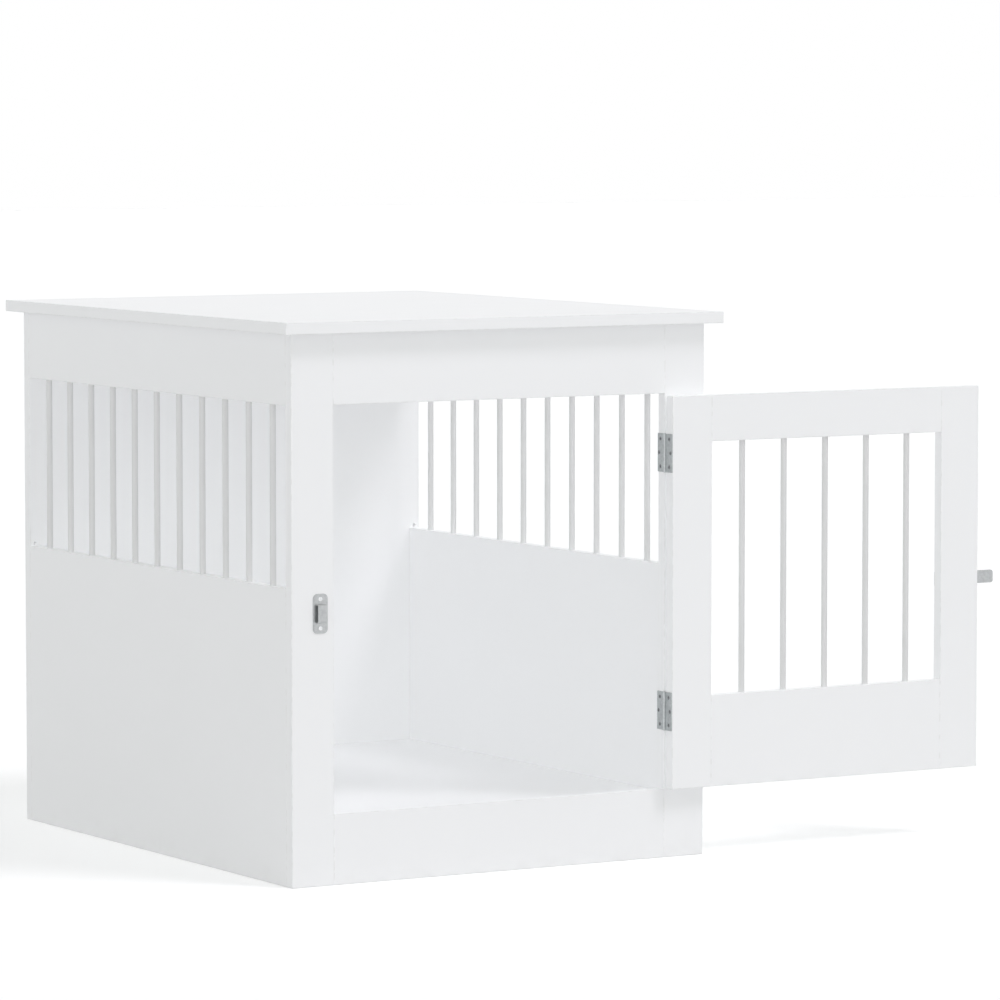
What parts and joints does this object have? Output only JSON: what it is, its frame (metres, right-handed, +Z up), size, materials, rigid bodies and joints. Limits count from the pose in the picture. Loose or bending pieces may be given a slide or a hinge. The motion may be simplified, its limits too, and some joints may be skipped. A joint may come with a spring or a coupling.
{
  "type": "dog crate end table",
  "caption": "White board end table that is also a dog crate: a closed cabinet with barred side windows and a barred front door that swings on butt hinges and shuts with a slide bolt.",
  "frame": {"origin": "on the floor, under the middle of the cabinet body", "axes": "+Z up, +Y from the door towards the back panel, +X to the right seen from the front"},
  "size_m": [1.0875, 0.8, 0.71],
  "materials": {
    "white_board": "satin white melamine on engineered wood",
    "bar_coating": "light grey powder coat",
    "hinge_steel": "zinc plated",
    "latch_steel": "zinc plated",
    "screw_steel": "zinc plated",
    "beech_dowel": "bare beech",
    "cam_zinc": "die cast, tumbled"
  },
  "bodies": {
    "carcass": {"tabletop": "white_board", "back_panel": "white_board", "floor_panel": "white_board", "side_rail_left": "white_board", "side_rail_right": "white_board", "side_panel_left": "white_board", "side_panel_right": "white_board", "front_stile_left": "white_board", "front_stile_right": "white_board", "front_rail_top": "white_board", "front_rail_bottom": "white_board", "left_bar_01": "bar_coating", "left_bar_02": "bar_coating", "left_bar_03": "bar_coating", "left_bar_04": "bar_coating", "left_bar_05": "bar_coating", "left_bar_06": "bar_coating", "left_bar_07": "bar_coating", "left_bar_08": "bar_coating", "left_bar_09": "bar_coating", "left_bar_10": "bar_coating", "left_bar_11": "bar_coating", "right_bar_01": "bar_coating", "right_bar_02": "bar_coating", "right_bar_03": "bar_coating", "right_bar_04": "bar_coating", "right_bar_05": "bar_coating", "right_bar_06": "bar_coating", "right_bar_07": "bar_coating", "right_bar_08": "bar_coating", "right_bar_09": "bar_coating", "right_bar_10": "bar_coating", "right_bar_11": "bar_coating", "hinge_upper_frame_leaf": "hinge_steel", "hinge_upper_pin": "hinge_steel", "hinge_lower_frame_leaf": "hinge_steel", "hinge_lower_pin": "hinge_steel", "bolt_keeper": "latch_steel", "frame_screws": "screw_steel", "back_screws": "screw_steel", "frame_dowels": "beech_dowel", "cam_bolts": "cam_zinc", "cam_locks": "cam_zinc"},
    "door": {"door_stile_hinge": "white_board", "door_stile_latch": "white_board", "door_rail_top": "white_board", "door_rail_bottom": "white_board", "door_bar_1": "bar_coating", "door_bar_2": "bar_coating", "door_bar_3": "bar_coating", "door_bar_4": "bar_coating", "door_bar_5": "bar_coating", "hinge_upper_door_leaf": "hinge_steel", "hinge_lower_door_leaf": "hinge_steel", "bolt_plate": "latch_steel", "door_screws": "screw_steel", "door_dowels": "beech_dowel"},
    "bolt": {"slide_bolt": "latch_steel", "bolt_knob": "latch_steel"}
  },
  "joints": [
    {"name": "door_swing", "type": "hinge", "parent": "carcass", "child": "door", "pos_m": [0.2435, -0.3825, 0.36], "axis": [0, 0, -1], "range_deg": [0, 180]},
    {"name": "bolt_slide", "type": "slide", "parent": "door", "child": "bolt", "axis": [-1, 0, 0], "range_m": [0, 0.03]}
  ]
}
